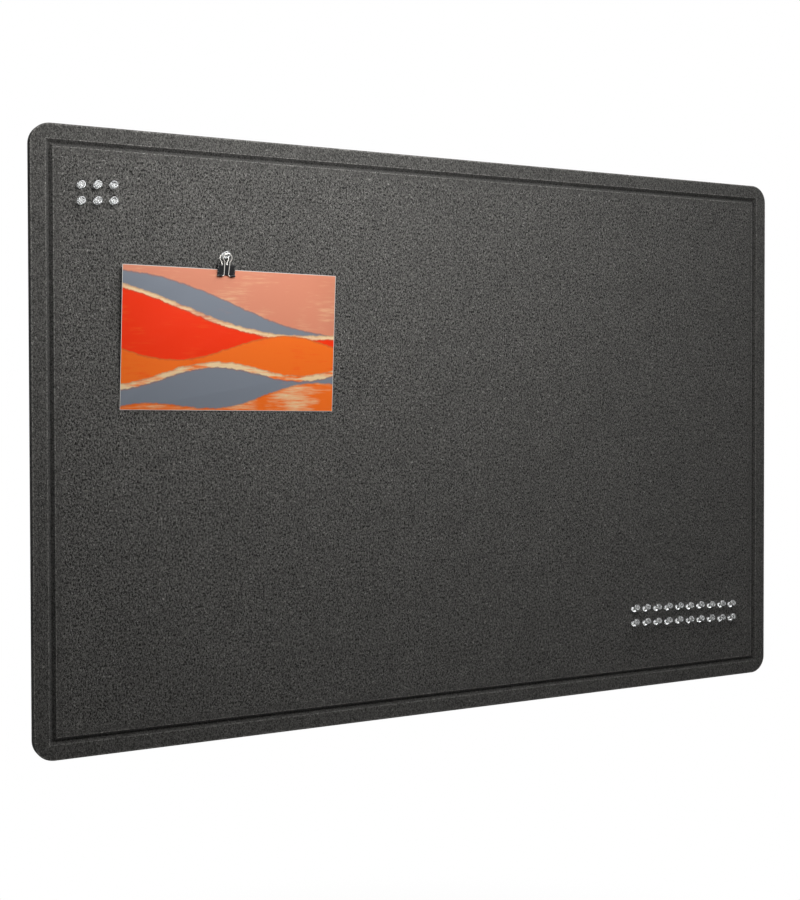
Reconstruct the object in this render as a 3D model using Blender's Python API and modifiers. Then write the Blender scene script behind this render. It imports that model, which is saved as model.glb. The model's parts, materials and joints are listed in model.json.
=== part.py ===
"""Felt bulletin board with push pins and a card held up by a small binder clip.

Metres, +Z up. The origin is the centre of the board's flat back, which lies on the wall in the XZ
plane. The felt front faces -Y, and +X is the board's long side, to the right of someone facing it.
"""

import math

import bmesh
import bpy
from mathutils import Euler, Matrix, Vector

# Felt board
BOARD_WIDTH = 0.900
BOARD_HEIGHT = 0.600
BOARD_THICKNESS = 0.009
CORNER_RADIUS = 0.020
FRONT_EDGE_ROUND = 0.0012
BORDER_WIDTH = 0.015
GROOVE_WIDTH = 0.0065
GROOVE_DEPTH = 0.0033

# Clearance between pieces that touch or fit in each other
FIT_GAP = 0.0003

# Push pin: moulded plastic head on a steel needle
HEAD_RADIUS = 0.0035
HEAD_THICKNESS = 0.0014
HEAD_CROWN = 0.0002
SHOULDER_RADIUS = 0.0026
WAIST_RADIUS = 0.0019
FLANGE_RADIUS = 0.0033
FLANGE_THICKNESS = 0.0009
RIM_ROUND = 0.0003
PIN_HEIGHT = 0.0084
NEEDLE_RADIUS = 0.00055
NEEDLE_REACH = 0.0072
NEEDLE_POINT = 0.0018
SOCKET_DEPTH = 0.0045
PIN_SIDES = 12
NEEDLE_SIDES = 8

# Pins in two short rows in the top left corner
CORNER_PIN_START = (-0.4030, 0.2430)
CORNER_PIN_PITCH = 0.0157
CORNER_PIN_RISE = 0.0010
CORNER_PIN_ROW_GAP = 0.0151
CORNER_PIN_COLUMNS = 3
CORNER_PIN_TILT = math.radians(3.0)

# Pins in two long rows in the bottom right corner, pushed in with their heads tipped up
LONG_PIN_START = (0.2468, -0.2091)
LONG_PIN_PITCH = 0.0162
LONG_PIN_RISE = -0.00055
LONG_PIN_ROW_GAP = 0.0166
LONG_PIN_COLUMNS = 10
LONG_PIN_TILT = math.radians(29.0)

PIN_ROWS = 2
PIN_WOBBLE = math.radians(1.5)

# Card
CARD_WIDTH = 0.225
CARD_HEIGHT = 0.140
CARD_THICKNESS = 0.0004
CARD_SHIFT = 0.0078
CARD_GRIP = 0.0060
CARD_TURN = math.radians(0.8)

# Binder clip: folded spring-steel sheet with a rolled lip on each jaw
CLIP_PIN = (-0.2593, 0.1835)
CLIP_WIDTH = 0.0185
CLIP_HEIGHT = 0.0103
CLIP_SPINE = 0.0054
CLIP_SHEET = 0.0004
CLIP_BEND = 0.0006
LIP_NOTCH = 0.0078
LIP_ROLL_END = math.radians(70.0)

# Wire handles of the clip
WIRE_RADIUS = 0.00045
HANDLE_LENGTH = 0.0220
LOOP_RADIUS = 0.0044
FLARE_RADIUS = 0.0020
NECK_HALF = 0.0027
LEG_HALF = 0.0023
LEG_BEND = 0.0011
FOOT_INSET = 0.0010

# Sizes that follow from the fits
SOCKET_RADIUS = NEEDLE_RADIUS + FIT_GAP
ROLL_RADIUS = WIRE_RADIUS + FIT_GAP + CLIP_SHEET / 2
ROLL_OFFSET = CARD_THICKNESS / 2 + FIT_GAP + CLIP_SHEET / 2 + ROLL_RADIUS
SPINE_HALF = CLIP_SPINE / 2
JAW_REACH = math.hypot(SPINE_HALF - ROLL_OFFSET, CLIP_HEIGHT)
JAW_LEAN = math.atan2(SPINE_HALF - ROLL_OFFSET, CLIP_HEIGHT) + math.asin(ROLL_RADIUS / JAW_REACH)


def clear_scene():
    """Remove every object of the scene that the script starts in."""
    for obj in list(bpy.data.objects):
        bpy.data.objects.remove(obj, do_unlink=True)


def collection(name):
    """New collection in the scene."""
    made = bpy.data.collections.new(name)
    bpy.context.scene.collection.children.link(made)
    return made


def material(name, colour, roughness, metallic=0.0, transmission=0.0):
    """Principled material with one colour."""
    mat = bpy.data.materials.new(name)
    mat.use_nodes = True
    shader = mat.node_tree.nodes["Principled BSDF"]
    shader.inputs["Base Color"].default_value = (*colour, 1.0)
    shader.inputs["Roughness"].default_value = roughness
    shader.inputs["Metallic"].default_value = metallic
    shader.inputs["Transmission Weight"].default_value = transmission
    mat.diffuse_color = (*colour, 1.0)
    return mat


def add_object(name, data, group, mat=None):
    """New object for a mesh or curve, in a collection, with its material."""
    obj = bpy.data.objects.new(name, data)
    if mat is not None and not data.materials:
        data.materials.append(mat)
    group.objects.link(obj)
    return obj


def mesh_from_bmesh(name, bm):
    """Mesh data from a bmesh, which is freed."""
    mesh = bpy.data.meshes.new(name)
    bm.to_mesh(mesh)
    bm.free()
    return mesh


def smooth(mesh, angle=math.radians(35.0)):
    """Shade round faces smooth and keep sharp edges sharp."""
    mesh.shade_smooth()
    mesh.set_sharp_from_angle(angle=angle)


def profile_mesh(name, points):
    """Mesh of an open outline in the XZ plane, given as (radius, height) points."""
    mesh = bpy.data.meshes.new(name)
    edges = [(i, i + 1) for i in range(len(points) - 1)]
    mesh.from_pydata([(radius, 0.0, height) for radius, height in points], edges, [])
    return mesh


def turn_profile(obj, sides):
    """Turn an outline about its own Z axis into a closed round solid."""
    screw = obj.modifiers.new("Turned", "SCREW")
    screw.axis = "Z"
    screw.steps = sides
    screw.render_steps = sides
    screw.use_merge_vertices = True
    screw.merge_threshold = 0.00001
    screw.use_smooth_shade = True


def board_mesh():
    """Flat felt panel with round corners and a softened front edge."""
    bm = bmesh.new()
    bmesh.ops.create_cube(bm, size=1.0)
    bmesh.ops.scale(bm, vec=(BOARD_WIDTH, BOARD_THICKNESS, BOARD_HEIGHT), verts=bm.verts)
    bmesh.ops.translate(bm, vec=(0.0, -BOARD_THICKNESS / 2, 0.0), verts=bm.verts)
    corners = [e for e in bm.edges if abs(e.verts[0].co.y - e.verts[1].co.y) > BOARD_THICKNESS / 2]
    bmesh.ops.bevel(bm, geom=corners, offset=CORNER_RADIUS, offset_type="OFFSET", segments=8,
                    profile=0.5, affect="EDGES")
    bm.normal_update()
    front = min(bm.faces, key=lambda face: face.calc_center_median().y)
    bmesh.ops.bevel(bm, geom=list(front.edges), offset=FRONT_EDGE_ROUND, offset_type="OFFSET",
                    segments=2, profile=0.5, affect="EDGES")
    mesh = mesh_from_bmesh("felt_board", bm)
    smooth(mesh)
    return mesh


def groove_mesh():
    """V-section ring: a rectangle stepped in and down to the groove's bottom, then in and up again.

    It starts above the felt, so its slopes cross the face at the groove's width.
    """
    over = GROOVE_DEPTH / 2
    slope_run = GROOVE_WIDTH / 2 * (GROOVE_DEPTH + over) / GROOVE_DEPTH
    mouth_edge = BORDER_WIDTH + GROOVE_WIDTH / 2 - slope_run
    bm = bmesh.new()
    bmesh.ops.create_grid(bm, x_segments=1, y_segments=1, size=0.5)
    bmesh.ops.scale(bm, vec=(BOARD_WIDTH - 2 * mouth_edge, BOARD_HEIGHT - 2 * mouth_edge, 1.0),
                    verts=bm.verts)
    panel = bm.faces[:][0]
    for step in (-(GROOVE_DEPTH + over), GROOVE_DEPTH + over):
        bmesh.ops.inset_individual(bm, faces=[panel], thickness=slope_run, depth=step,
                                   use_even_offset=True)
    bmesh.ops.delete(bm, geom=[panel], context="FACES_ONLY")
    bmesh.ops.bridge_loops(bm, edges=[e for e in bm.edges if e.is_boundary])
    bmesh.ops.recalc_face_normals(bm, faces=bm.faces)
    to_front = Matrix.Rotation(math.radians(90.0), 4, "X")
    bmesh.ops.transform(bm, matrix=to_front, verts=bm.verts)
    bmesh.ops.translate(bm, vec=(0.0, -BOARD_THICKNESS - over, 0.0), verts=bm.verts)
    return mesh_from_bmesh("groove_cutter", bm)


def pin_outline():
    """Outline of a pin's plastic head, from its crown down the outside and up into its socket.

    Between flange and head the radius follows a parabola that is narrowest at mid height.
    """
    under_head = PIN_HEIGHT - HEAD_THICKNESS
    waist = []
    for step in range(5):
        share = 1.0 - step / 4
        radius = WAIST_RADIUS + (SHOULDER_RADIUS - WAIST_RADIUS) * (2 * share - 1) ** 2
        height = FLANGE_THICKNESS + RIM_ROUND + share * (under_head - FLANGE_THICKNESS - 2 * RIM_ROUND)
        waist.append((radius, height))
    return [
        (0.0, PIN_HEIGHT),
        (HEAD_RADIUS - RIM_ROUND, PIN_HEIGHT - HEAD_CROWN),
        (HEAD_RADIUS, PIN_HEIGHT - HEAD_CROWN - RIM_ROUND),
        (HEAD_RADIUS, under_head),
        *waist,
        (FLANGE_RADIUS, FLANGE_THICKNESS),
        (FLANGE_RADIUS, RIM_ROUND),
        (FLANGE_RADIUS - RIM_ROUND, 0.0),
        (SOCKET_RADIUS, 0.0),
        (SOCKET_RADIUS, SOCKET_DEPTH),
        (0.0, SOCKET_DEPTH),
    ]


def needle_outline():
    """Outline of a needle, from its blunt end in the plastic down to its point."""
    blunt_end = SOCKET_DEPTH - FIT_GAP
    return [
        (0.0, blunt_end),
        (NEEDLE_RADIUS, blunt_end),
        (NEEDLE_RADIUS, NEEDLE_POINT - NEEDLE_REACH),
        (0.0, -NEEDLE_REACH),
    ]


def pin_hole_mesh():
    """Round cutter for a needle's hole in the felt, from the flange to just past the point."""
    depth = NEEDLE_REACH + FIT_GAP
    bm = bmesh.new()
    bmesh.ops.create_cone(bm, cap_ends=True, segments=NEEDLE_SIDES, radius1=SOCKET_RADIUS,
                          radius2=SOCKET_RADIUS, depth=depth)
    bmesh.ops.translate(bm, vec=(0.0, 0.0, -depth / 2), verts=bm.verts)
    return mesh_from_bmesh("pin_hole_cutter", bm)


def pin_matrix(spot, tilt, sway, lift=None):
    """Place of a pin: its axis +Z leaves the felt at spot, tipped up by tilt and sideways by sway.

    The flange's underside lies at lift along the axis, or where its low rim just clears the felt.
    """
    turn = Euler((math.radians(90.0) - tilt, 0.0, sway)).to_matrix()
    axis = turn @ Vector((0.0, 0.0, 1.0))
    if lift is None:
        lean = math.acos(-axis.y)
        lift = (FIT_GAP + FLANGE_RADIUS * math.sin(lean)) / math.cos(lean)
    place = Vector((spot[0], -BOARD_THICKNESS, spot[1])) + axis * lift
    return Matrix.Translation(place) @ turn.to_4x4()


def pin_grid(start, pitch, rise, row_gap, columns, tilt):
    """Places of the pins of one group, row by row, each a little off true."""
    places = []
    for row in range(PIN_ROWS):
        for column in range(columns):
            number = row * columns + column
            spot = (start[0] + column * pitch, start[1] + column * rise - row * row_gap)
            places.append(pin_matrix(spot, tilt + PIN_WOBBLE * math.sin(2.4 * number),
                                     PIN_WOBBLE * math.cos(1.7 * number)))
    return places


def clip_sheet_outline():
    """Half section of the clip's sheet, as (distance from the card, height) points.

    The lip is an arc round the handle's foot that runs into the jaw, a straight line to the spine.
    """
    points = []
    steps = 7
    jaw_start = math.pi - JAW_LEAN
    roll_end = 2 * math.pi + LIP_ROLL_END
    for step in range(steps + 1):
        angle = roll_end + (jaw_start - roll_end) * step / steps
        points.append((ROLL_OFFSET + ROLL_RADIUS * math.cos(angle), ROLL_RADIUS * math.sin(angle)))
    points.append((SPINE_HALF, CLIP_HEIGHT))
    return points


def clip_body_mesh():
    """Middle surface of the folded sheet: its section carried along X in three strips.

    The middle strip has no rolled lip, so the handle's legs can leave the rolls there.
    """
    half = clip_sheet_outline()
    section = [(-a, h) for a, h in half] + [(a, h) for a, h in reversed(half)]
    side_strip = (CLIP_WIDTH - LIP_NOTCH) / 2
    bm = bmesh.new()
    row = [bm.verts.new((-CLIP_WIDTH / 2, y, z)) for y, z in section]
    edges = [bm.edges.new(pair) for pair in zip(row, row[1:])]
    for run in (side_strip, LIP_NOTCH, side_strip):
        made = bmesh.ops.extrude_edge_only(bm, edges=edges)["geom"]
        verts = [item for item in made if isinstance(item, bmesh.types.BMVert)]
        bmesh.ops.translate(bm, vec=(run, 0.0, 0.0), verts=verts)
        edges = [item for item in made if isinstance(item, bmesh.types.BMEdge)
                 and abs(item.verts[0].co.x - item.verts[1].co.x) < side_strip / 2
                 and abs(item.verts[0].co.x - verts[0].co.x) < side_strip / 2]
    lip = [face for face in bm.faces if abs(face.calc_center_median().x) < LIP_NOTCH / 2
           and face.calc_center_median().z < ROLL_RADIUS]
    bmesh.ops.delete(bm, geom=lip, context="FACES")
    bends = [e for e in bm.edges if len(e.link_faces) == 2
             and all(v.co.z > CLIP_HEIGHT - CLIP_BEND for v in e.verts)
             and abs(e.verts[0].co.y - e.verts[1].co.y) < SPINE_HALF]
    bmesh.ops.bevel(bm, geom=bends, offset=CLIP_BEND, offset_type="OFFSET", segments=3,
                    profile=0.5, affect="EDGES")
    bmesh.ops.recalc_face_normals(bm, faces=bm.faces)
    return mesh_from_bmesh("clip_body", bm)


def arc_points(centre, radius, start, end, steps):
    """Points along an arc in a plane, from one angle to the other."""
    points = []
    for step in range(steps + 1):
        angle = start + (end - start) * step / steps
        points.append((centre[0] + radius * math.cos(angle), centre[1] + radius * math.sin(angle)))
    return points


def handle_route():
    """Centre line of a wire handle in its own plane, foot to foot.

    Each half runs in along the foot, bends up the leg, flares out and closes in a round loop. The
    flare's circle and the loop's circle touch, so their centres and the contact lie on one line.
    """
    loop_centre = (0.0, HANDLE_LENGTH - LOOP_RADIUS)
    flare_across = NECK_HALF + FLARE_RADIUS
    drop = math.sqrt((LOOP_RADIUS + FLARE_RADIUS) ** 2 - flare_across ** 2)
    flare_centre = (flare_across, loop_centre[1] - drop)
    contact = math.atan2(drop, flare_across)
    half = [(CLIP_WIDTH / 2 - FOOT_INSET, 0.0)]
    half += arc_points((LEG_HALF + LEG_BEND, LEG_BEND), LEG_BEND, -math.pi / 2, -math.pi, 3)
    half += arc_points(flare_centre, FLARE_RADIUS, math.pi, math.pi - contact, 3)
    half += arc_points(loop_centre, LOOP_RADIUS, -contact, math.pi / 2, 8)[1:]
    return half + [(-x, z) for x, z in reversed(half[:-1])]


def handle_curve(name):
    """Round wire along the handle's route, in the XZ plane, its feet on the X axis."""
    route = handle_route()
    curve = bpy.data.curves.new(name, "CURVE")
    curve.dimensions = "3D"
    curve.bevel_depth = WIRE_RADIUS
    curve.bevel_resolution = 2
    curve.use_fill_caps = True
    spline = curve.splines.new("POLY")
    spline.points.add(len(route) - 1)
    for point, (x, z) in zip(spline.points, route):
        point.co = (x, 0.0, z, 1.0)
    spline.use_smooth = True
    return curve


def card_mesh():
    """Flat card that hangs from the clip's jaws, its middle plane in the XZ plane."""
    bm = bmesh.new()
    bmesh.ops.create_cube(bm, size=1.0)
    bmesh.ops.scale(bm, vec=(CARD_WIDTH, CARD_THICKNESS, CARD_HEIGHT), verts=bm.verts)
    bmesh.ops.translate(bm, vec=(CARD_SHIFT, 0.0, CARD_GRIP - CARD_HEIGHT / 2), verts=bm.verts)
    return mesh_from_bmesh("art_card", bm)


def clip_placement():
    """Place of the clip and card as they hang: rear handle and card's foot both against the felt.

    The lean that makes both touch is the slope between the back of the rear loop's top and the
    card's lower rear edge. The loop's top rests on the needle of the clip's own pin.
    """
    loop_top = Vector((0.0, ROLL_OFFSET + HANDLE_LENGTH * math.sin(JAW_LEAN),
                       HANDLE_LENGTH * math.cos(JAW_LEAN)))
    foot_y = CARD_THICKNESS / 2
    foot_z = CARD_GRIP - CARD_HEIGHT
    lean = math.atan2(loop_top.y + WIRE_RADIUS - foot_y, loop_top.z - foot_z)
    stand_off = FIT_GAP - foot_z * math.sin(lean) + foot_y * math.cos(lean)
    turn = Euler((lean, CARD_TURN, 0.0)).to_matrix()
    hang = turn @ loop_top
    needle_drop = WIRE_RADIUS + FIT_GAP + NEEDLE_RADIUS
    place = Vector((CLIP_PIN[0] - hang.x, -BOARD_THICKNESS - stand_off,
                    CLIP_PIN[1] + needle_drop - hang.z))
    return Matrix.Translation(place) @ turn.to_4x4()


def build():
    """Make every piece of the board."""
    clear_scene()
    parts = collection("felt_bulletin_board")
    cutters = collection("cutters")

    felt = material("charcoal felt", (0.085, 0.085, 0.082), 0.95)
    clear = material("clear plastic", (0.90, 0.92, 0.93), 0.08, transmission=0.9)
    steel = material("needle steel", (0.62, 0.62, 0.60), 0.30, metallic=1.0)
    print_card = material("printed card", (0.90, 0.40, 0.20), 0.55)
    enamel = material("black enamel", (0.03, 0.03, 0.032), 0.30)
    wire = material("plated wire", (0.75, 0.74, 0.72), 0.20, metallic=1.0)

    board = add_object("felt_board", board_mesh(), parts, felt)
    cut = board.modifiers.new("Groove and pin holes", "BOOLEAN")
    cut.operation = "DIFFERENCE"
    cut.solver = "EXACT"
    cut.operand_type = "COLLECTION"
    cut.collection = cutters
    add_object("groove_cutter", groove_mesh(), cutters)

    corner_pins = pin_grid(CORNER_PIN_START, CORNER_PIN_PITCH, CORNER_PIN_RISE,
                           CORNER_PIN_ROW_GAP, CORNER_PIN_COLUMNS, CORNER_PIN_TILT)
    long_pins = pin_grid(LONG_PIN_START, LONG_PIN_PITCH, LONG_PIN_RISE,
                         LONG_PIN_ROW_GAP, LONG_PIN_COLUMNS, LONG_PIN_TILT)
    loop_room = 2 * (FIT_GAP + WIRE_RADIUS)
    clip_pin = pin_matrix(CLIP_PIN, 0.0, 0.0, lift=loop_room + FIT_GAP)
    pins = {f"corner_pin_{n + 1}": place for n, place in enumerate(corner_pins)}
    pins.update({f"row_pin_{n + 1:02d}": place for n, place in enumerate(long_pins)})
    pins["clip_pin"] = clip_pin

    head_mesh = profile_mesh("pin_head", pin_outline())
    needle_mesh = profile_mesh("pin_needle", needle_outline())
    hole_mesh = pin_hole_mesh()
    for name, place in pins.items():
        head = add_object(f"{name}_head", head_mesh, parts, clear)
        turn_profile(head, PIN_SIDES)
        needle = add_object(f"{name}_needle", needle_mesh, parts, steel)
        turn_profile(needle, NEEDLE_SIDES)
        hole = add_object(f"{name}_hole_cutter", hole_mesh, cutters)
        for obj in (head, needle, hole):
            obj.matrix_world = place

    clip_frame = bpy.data.objects.new("clip_frame", None)
    parts.objects.link(clip_frame)
    clip_frame.matrix_world = clip_placement()

    card = add_object("art_card", card_mesh(), parts, print_card)
    clip_body = add_object("clip_body", clip_body_mesh(), parts, enamel)
    sheet = clip_body.modifiers.new("Sheet", "SOLIDIFY")
    sheet.thickness = CLIP_SHEET
    sheet.offset = 0.0
    sheet.use_even_offset = True
    front_handle = add_object("clip_front_handle", handle_curve("clip_front_handle"), parts, wire)
    front_handle.location = (0.0, -ROLL_OFFSET, 0.0)
    front_handle.rotation_euler = (JAW_LEAN, 0.0, 0.0)
    rear_handle = add_object("clip_rear_handle", handle_curve("clip_rear_handle"), parts, wire)
    rear_handle.location = (0.0, ROLL_OFFSET, 0.0)
    rear_handle.rotation_euler = (-JAW_LEAN, 0.0, 0.0)
    for obj in (card, clip_body, front_handle, rear_handle):
        obj.parent = clip_frame

    for cutter in cutters.objects:
        cutter.hide_render = True
        cutter.display_type = "WIRE"


build()
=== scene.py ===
"""Looks of a felt bulletin board: pressed felt panel, clear push pins, and a card in a small clip.

Metres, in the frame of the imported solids: the felt front faces -Y, +X is right and +Z is up. The
places of pins, card and clip are read from the frame, so each finished piece sits on its solid.
"""

import json
import math

import bmesh
import bpy
import numpy as np
from bpy.props import FloatProperty, FloatVectorProperty, IntProperty, PointerProperty
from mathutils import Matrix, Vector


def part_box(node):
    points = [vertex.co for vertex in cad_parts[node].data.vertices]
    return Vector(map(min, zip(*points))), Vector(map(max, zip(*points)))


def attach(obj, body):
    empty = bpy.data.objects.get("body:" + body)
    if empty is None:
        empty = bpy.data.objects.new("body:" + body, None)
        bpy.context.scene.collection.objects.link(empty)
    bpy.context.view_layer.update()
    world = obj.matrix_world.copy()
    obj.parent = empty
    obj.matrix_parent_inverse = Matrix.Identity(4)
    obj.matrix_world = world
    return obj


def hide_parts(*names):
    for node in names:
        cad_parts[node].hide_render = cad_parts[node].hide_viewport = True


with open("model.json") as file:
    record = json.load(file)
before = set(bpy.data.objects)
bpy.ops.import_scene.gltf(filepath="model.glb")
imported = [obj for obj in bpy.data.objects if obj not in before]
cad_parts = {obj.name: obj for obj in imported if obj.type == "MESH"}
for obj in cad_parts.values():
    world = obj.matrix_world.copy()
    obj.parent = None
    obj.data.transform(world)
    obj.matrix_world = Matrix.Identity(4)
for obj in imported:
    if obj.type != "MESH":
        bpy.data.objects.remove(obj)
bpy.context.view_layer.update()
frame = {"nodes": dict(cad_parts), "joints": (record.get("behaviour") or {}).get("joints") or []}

bl_info = {
    "name": "Felt Bulletin Board",
    "version": (1, 0, 0),
    "blender": (4, 5, 0),
    "location": "View3D > Sidebar > Felt Board",
    "description": "Builds the finished surfaces of a felt bulletin board over its solids",
    "category": "Add Mesh",
}

# Points closer than this, in metres, are merged
WELD = 1e-6
# Names of all pins, read from the frame's nodes
PINS = sorted(name[:-len("_head")] for name in frame["nodes"] if name.endswith("_head"))
# Grid of the felt's face: its step, its finer step near a needle, and how far that one reaches
FACE_STEP = 0.008
DIMPLE_STEP = 0.0007
DIMPLE_REACH = 0.0035
# Distance at which a dimple's depth has fallen to 1/e
DIMPLE_SPREAD = 0.0016
# The felt's slow ripple: radians to the metre along X and along Z, and the start, of each sine
RIPPLES = ((41.0, 9.0, 0.0), (-23.0, 67.0, 1.0), (118.0, 95.0, 2.0))
# Shares of a pin head's radius between which its whiter rim fades in
RIM_SPAN = (0.625, 0.982)
# Shares of the floor's radius between which it whitens
FLOOR_FADE = (0.45, 0.98)
# Steps round a corner of the felt panel and of the card
PANEL_CORNER_STEPS = 16
CARD_CORNER_STEPS = 4
# Name, place and size of each softbox, and the stage setting with its power
SOFTBOXES = (
    ("softbox_above", (-0.18, -0.46, 0.44), (0.6, 0.3), "key"),
    ("softbox_high", (0.56, -0.26, 1.30), (0.9, 0.3), "top"),
    ("softbox_behind", (0.4, 1.60, 0.90), (1.6, 1.2), "back"),
)


# Settings

def number(name, default, description, low=0.0, **more):
    """Property for a number that is no less than low."""
    return FloatProperty(name=name, description=description, default=default, min=low, **more)


def length(name, default, description):
    """Property for a length in metres."""
    return number(name, default, description, precision=5, subtype="DISTANCE", unit="LENGTH")


def colour(name, default, description):
    """Property for a linear colour."""
    return FloatVectorProperty(name=name, description=description, default=default, size=3,
                               min=0.0, max=1.0, subtype="COLOR")


class FeltSettings(bpy.types.PropertyGroup):
    """Sizes, tones and colours of the felt panel."""

    corner_radius: length("Corner radius", 0.020, "Radius of the panel's four corners")
    edge_round: length("Edge round", 0.0012, "Rounding of the front edge")
    back_round: length("Back round", 0.0004, "Rounding of the back edge")
    border_width: length("Border width", 0.015, "Felt between the edge and the groove")
    groove_width: length("Groove width", 0.0065, "Width of the pressed groove at its mouth")
    groove_depth: length("Groove depth", 0.0033, "Depth of the pressed groove")
    lip_round: length("Lip round", 0.0007, "Softness of the groove's two lips")
    ripple: length("Ripple", 0.00006, "Height of the felt's slow unevenness")
    dimple: length("Dimple", 0.00030, "Depth of the felt's dimple round each needle")
    # Painted highlight: how many times lighter the felt is drawn on the groove's lips and the front
    # edge
    painted_lip_light: number("Lip shade", 2.1, "Tone of the worn lips, as a multiple")
    # Painted shade: how many times darker the felt is drawn at the bottom of the pressed groove
    painted_groove_shade: number("Groove shade", 0.6, "Tone of the pressed groove, as a multiple")
    dark: colour("Dark fibre", (0.0118, 0.0115, 0.0108), "Colour of the darkest fibres")
    middle: colour("Middle fibre", (0.157, 0.153, 0.144), "Colour of the felt's paler tufts")
    light: colour("Light fibre", (0.425, 0.412, 0.388), "Colour of the lightest fibres")


class PinSettings(bpy.types.PropertyGroup):
    """Sizes and colours of the push pins."""

    head_radius: length("Head radius", 0.0035, "Radius of the pin's top")
    head_thickness: length("Head thickness", 0.0014, "Thickness of the pin's top at its rim")
    head_dish: length("Head dish", 0.0002, "Depth of the shallow dish in the pin's top")
    shoulder_radius: length("Shoulder radius", 0.0026, "Radius of the waist at both its ends")
    waist_radius: length("Waist radius", 0.0019, "Radius of the waist at its middle")
    flange_radius: length("Flange radius", 0.0033, "Radius of the flange at the felt")
    flange_thickness: length("Flange thickness", 0.0009, "Thickness of the flange")
    head_round: length("Head round", 0.0006, "Rounding of the top's rim")
    flange_round: length("Flange round", 0.0004, "Rounding of the flange's rim")
    needle_radius: length("Needle radius", 0.00055, "Radius of the steel needle")
    needle_taper: length("Needle taper", 0.0018, "Length of the needle's point")
    sides: IntProperty(name="Sides", description="Facets round a pin", default=48, min=8, max=128)
    plastic: colour("Plastic", (0.97, 0.985, 0.99), "Tint of the clear plastic")
    steel: colour("Steel", (0.62, 0.62, 0.60), "Colour of the needles")


class CardSettings(bpy.types.PropertyGroup):
    """Sizes and colours of the printed card."""

    corner_radius: length("Corner radius", 0.0004, "Radius of the card's corners")
    edge_round: length("Edge round", 0.00008, "Rounding of the card's edges")
    margin: length("Margin", 0.0006, "Bare paper between the print and the card's edge")
    salmon: colour("Salmon", (0.73, 0.270, 0.165), "Palest printed field")
    red: colour("Red", (1.0, 0.042, 0.006), "Strongest printed field")
    orange: colour("Orange", (1.0, 0.180, 0.018), "Widest printed field")
    slate: colour("Slate", (0.222, 0.248, 0.292), "Cool printed field")
    cream: colour("Cream", (0.96, 0.70, 0.40), "Strokes between the fields")
    dried: colour("Dried", (0.36, 0.105, 0.050), "Thin line where a printed field dried")
    paper: colour("Paper", (0.78, 0.76, 0.72), "Edges and back of the card")


class ClipSettings(bpy.types.PropertyGroup):
    """Sizes and colours of the binder clip."""

    width: length("Width", 0.0185, "Width of the folded sheet")
    height: length("Height", 0.0103, "Height from the lips' axis to the spine")
    spine: length("Spine", 0.0054, "Depth of the spine")
    sheet: length("Sheet", 0.0004, "Thickness of the spring steel")
    bend: length("Bend", 0.0006, "Radius of the spine's two folds")
    notch: length("Notch", 0.0078, "Opening in each rolled lip for the legs")
    curl: number("Curl", math.radians(70.0), "How far a rolled lip curls on past level",
                 subtype="ANGLE", unit="ROTATION")
    fit_gap: length("Fit gap", 0.0003, "Clearance between wire and lip, and between jaw and card")
    wire_radius: length("Wire radius", 0.00045, "Radius of the handles' wire")
    handle: length("Handle", 0.0220, "Length of a handle")
    loop_radius: length("Loop radius", 0.0044, "Radius of a handle's round loop")
    flare_radius: length("Flare radius", 0.0020, "Radius of the legs' outward flare")
    neck_half: length("Neck half", 0.0027, "Half the distance between the legs")
    leg_half: length("Leg half", 0.0023, "Half the distance between the legs' bends")
    leg_bend: length("Leg bend", 0.0011, "Radius between foot and leg")
    foot_inset: length("Foot inset", 0.0010, "How far a foot ends inside the sheet's side")
    enamel: colour("Enamel", (0.012, 0.012, 0.013), "Colour of the black enamel")
    bare: colour("Bare steel", (0.50, 0.49, 0.47), "Steel where the enamel has worn off")
    plating: colour("Plating", (0.68, 0.66, 0.62), "Colour of the plated wire")


class StageSettings(bpy.types.PropertyGroup):
    """Camera, floor and lights."""

    eye: FloatVectorProperty(name="Eye", description="Place of the camera", size=3, precision=4,
                             default=(-0.7431, -1.2976, 0.0456), subtype="TRANSLATION",
                             unit="LENGTH")
    turn: FloatVectorProperty(name="Turn", description="Pitch, roll and yaw of the camera", size=3,
                              default=(math.radians(88.9256), math.radians(0.1210),
                                       math.radians(-27.8849)),
                              subtype="EULER", unit="ROTATION")
    lens: number("Lens", 54.788, "Focal length in millimetres on a 36 mm frame", low=1.0,
                 unit="CAMERA")
    shift: number("Shift", -0.0339, "Rise of the lens, as a share of the frame", low=-1.0)
    floor_drop: length("Floor drop", 1.25, "How far the floor lies below the board's middle")
    floor_radius: length("Floor radius", 2.6, "Radius of the floor")
    ambient: number("Ambient", 0.035, "Brightness of the light from all round", max=1.0)
    key: number("Key", 3.45, "Power of the softbox above, in watts", unit="POWER")
    top: number("Top", 9.4, "Power of the high softbox, in watts", unit="POWER")
    back: number("Back", 24.0, "Power of the softbox behind, in watts", unit="POWER")


# Reading the solids

def node_points(name):
    """The separate corner points of a solid, as an array of rows."""
    mesh = frame["nodes"][name].data
    flat = np.zeros(len(mesh.vertices) * 3, np.float32)
    mesh.vertices.foreach_get("co", flat)
    return np.unique(flat.reshape(-1, 3).round(7), axis=0).astype(float)


def principal_axes(points):
    """Unit directions of a point cloud, from its widest spread to its narrowest, one to a row."""
    return np.linalg.svd(points - points.mean(0), full_matrices=False)[2]


def towards(direction, wanted):
    """The direction or its opposite, whichever points more along the wanted one."""
    return direction if direction @ np.array(wanted) > 0 else -direction


def pin_place(pin):
    """Origin and axes of a pin: the middle of its flange's underside, with +Z out of the felt.

    The needle's spread gives the axis. The head's lowest point along it gives the underside.
    """
    needle = node_points(f"{pin}_needle")
    out = towards(principal_axes(needle)[0], (0.0, -1.0, 0.0))
    middle = needle.mean(0)
    along_head = (node_points(f"{pin}_head") - middle) @ out
    side = np.cross((0.0, 0.0, 1.0), out)
    side /= np.linalg.norm(side)
    axes = np.array([side, np.cross(out, side), out])
    origin = middle + out * along_head.min()
    reach = along_head.min() - ((needle - middle) @ out).min()
    return origin, axes, np.ptp(along_head), reach


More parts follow.
